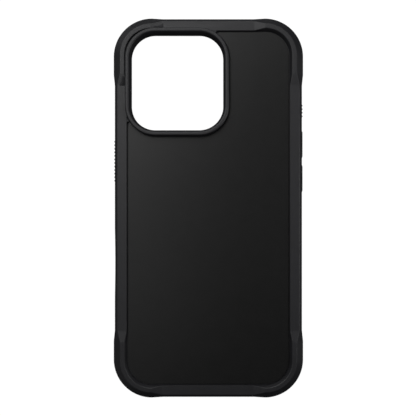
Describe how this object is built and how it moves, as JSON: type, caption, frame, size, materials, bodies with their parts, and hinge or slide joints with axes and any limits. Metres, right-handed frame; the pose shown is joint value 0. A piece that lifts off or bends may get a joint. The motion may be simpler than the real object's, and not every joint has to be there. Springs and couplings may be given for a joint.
{
  "type": "phone case",
  "caption": "Protective phone case: soft bumper with raised corners round a rigid tray, recessed back plate, raised camera rim and sprung side buttons.",
  "frame": {"origin": "middle of the plane of the front lip, which the case rests on when it lies face down", "axes": "+Z out of the back plate, +Y towards the camera end, +X to the right as seen from the back"},
  "size_m": [0.0786, 0.1562, 0.0142],
  "materials": {
    "bumper_rubber": "soft matte",
    "tray_plastic": "matte",
    "plate_plastic": "fine matte grain",
    "adhesive": "translucent film",
    "lining_fabric": "short soft nap",
    "magnet_metal": "nickel plated",
    "yoke_steel": "cold rolled",
    "cushion_gel": "satin",
    "cap_plastic": "matte",
    "plunger_plastic": "satin",
    "silicone": "satin"
  },
  "bodies": {
    "shell": {"action_return_pad": "silicone", "alignment_magnet": "magnet_metal", "back_plate": "plate_plastic", "bumper": "bumper_rubber", "corner_cushion_bottom_left": "cushion_gel", "corner_cushion_bottom_right": "cushion_gel", "corner_cushion_top_left": "cushion_gel", "corner_cushion_top_right": "cushion_gel", "lining": "lining_fabric", "magnet_ring": "magnet_metal", "magnet_yoke": "yoke_steel", "plate_adhesive": "adhesive", "power_return_pad": "silicone", "tray": "tray_plastic", "volume_down_return_pad": "silicone", "volume_up_return_pad": "silicone"},
    "power_button": {"power_cap": "cap_plastic", "power_plunger": "plunger_plastic"},
    "action_button": {"action_cap": "cap_plastic", "action_plunger": "plunger_plastic"},
    "volume_up_button": {"volume_up_cap": "cap_plastic", "volume_up_plunger": "plunger_plastic"},
    "volume_down_button": {"volume_down_cap": "cap_plastic", "volume_down_plunger": "plunger_plastic"}
  },
  "joints": [
    {"name": "power_press", "type": "slide", "parent": "shell", "child": "power_button", "axis": [1, 0, 0], "range_m": [0, 0.0003], "stiffness_N_per_m": 4000, "deforming": ["power_return_pad"]},
    {"name": "action_press", "type": "slide", "parent": "shell", "child": "action_button", "axis": [-1, 0, 0], "range_m": [0, 0.0003], "stiffness_N_per_m": 4000, "deforming": ["action_return_pad"]},
    {"name": "volume_up_press", "type": "slide", "parent": "shell", "child": "volume_up_button", "axis": [-1, 0, 0], "range_m": [0, 0.0003], "stiffness_N_per_m": 4000, "deforming": ["volume_up_return_pad"]},
    {"name": "volume_down_press", "type": "slide", "parent": "shell", "child": "volume_down_button", "axis": [-1, 0, 0], "range_m": [0, 0.0003], "stiffness_N_per_m": 4000, "deforming": ["volume_down_return_pad"]}
  ]
}
